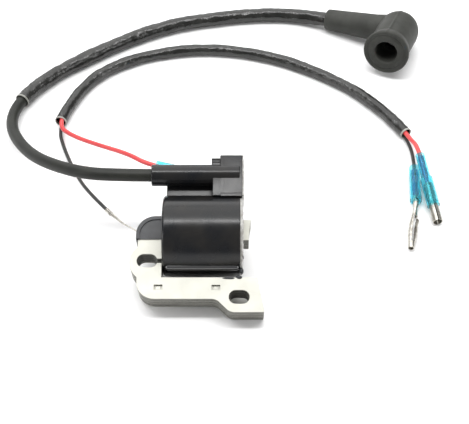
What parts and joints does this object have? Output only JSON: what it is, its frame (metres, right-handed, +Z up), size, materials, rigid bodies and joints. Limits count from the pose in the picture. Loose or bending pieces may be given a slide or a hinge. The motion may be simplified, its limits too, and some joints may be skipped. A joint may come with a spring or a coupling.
{
  "type": "ignition coil",
  "caption": "Ignition coil for a small engine: laminated core, potted coil in a black case, high-tension lead with an angled plug boot, and two sleeved control wires with bullet terminals.",
  "frame": {"origin": "on the table, under the centre of the box around the coil itself, without its leads", "axes": "+X along the core's leg towards its pole, +Y across the legs towards the lead tower, +Z up from the table"},
  "size_m": [0.1965, 0.1969, 0.0375],
  "materials": {
    "core_steel": "bare punched sheets, rough edges",
    "case_plastic": "semi-gloss black",
    "cap_plastic": "matt dark grey",
    "resin": "cast, uneven",
    "bobbin_plastic": "moulded",
    "copper_wire": "enamelled",
    "board": "laminate",
    "component_plastic": "moulded",
    "brass": "plain",
    "tin_plate": "tin plate",
    "vinyl_blue": "soft translucent vinyl",
    "lead_rubber": "matt",
    "sleeve_vinyl": "glossy, wrinkled",
    "red_vinyl": "satin",
    "black_vinyl": "satin",
    "boot_rubber": "matt",
    "spring_steel": "drawn"
  },
  "bodies": {
    "root": {"core_laminations": "core_steel", "coil_case": "case_plastic", "core_corner_cap": "cap_plastic", "potting_resin": "resin", "primary_bobbin": "bobbin_plastic", "primary_winding": "copper_wire", "secondary_bobbin": "bobbin_plastic", "secondary_winding": "copper_wire", "circuit_board": "board", "switching_transistor": "component_plastic", "timing_capacitor": "component_plastic", "blocking_diode": "component_plastic", "bias_resistors": "component_plastic", "high_voltage_spike": "brass", "kill_tab": "tin_plate", "kill_receptacle": "tin_plate", "ground_ferrule": "tin_plate", "ground_wire_tail": "tin_plate", "ht_lead": "lead_rubber", "ht_sleeve": "sleeve_vinyl", "pair_sleeve": "sleeve_vinyl", "red_wire": "red_vinyl", "black_wire": "black_vinyl", "male_bullet": "tin_plate", "female_bullet": "tin_plate"},
    "boot": {"plug_boot": "boot_rubber", "plug_contact_spring": "spring_steel"},
    "male_sleeve": {"male_bullet_sleeve": "vinyl_blue"},
    "female_sleeve": {"female_bullet_sleeve": "vinyl_blue"},
    "kill_sleeve": {"kill_receptacle_sleeve": "vinyl_blue"}
  },
  "joints": [
    {"name": "boot_swivel", "type": "hinge", "parent": "root", "child": "boot", "pos_m": [0.062, 0.1555, 0.0051], "axis": [-0.8959, 0.4241, -0.1325], "range_deg": [-90, 90]},
    {"name": "male_sleeve_slide", "type": "slide", "parent": "root", "child": "male_sleeve", "axis": [-0.077, -0.997, 0], "range_m": [-0.001, 0.004]},
    {"name": "female_sleeve_slide", "type": "slide", "parent": "root", "child": "female_sleeve", "axis": [0.116, -0.9847, -0.13], "range_m": [-0.0005, 0.002]},
    {"name": "kill_sleeve_slide", "type": "slide", "parent": "root", "child": "kill_sleeve", "axis": [-0.9699, 0.2293, 0.0824], "range_m": [0, 0.0025]}
  ]
}
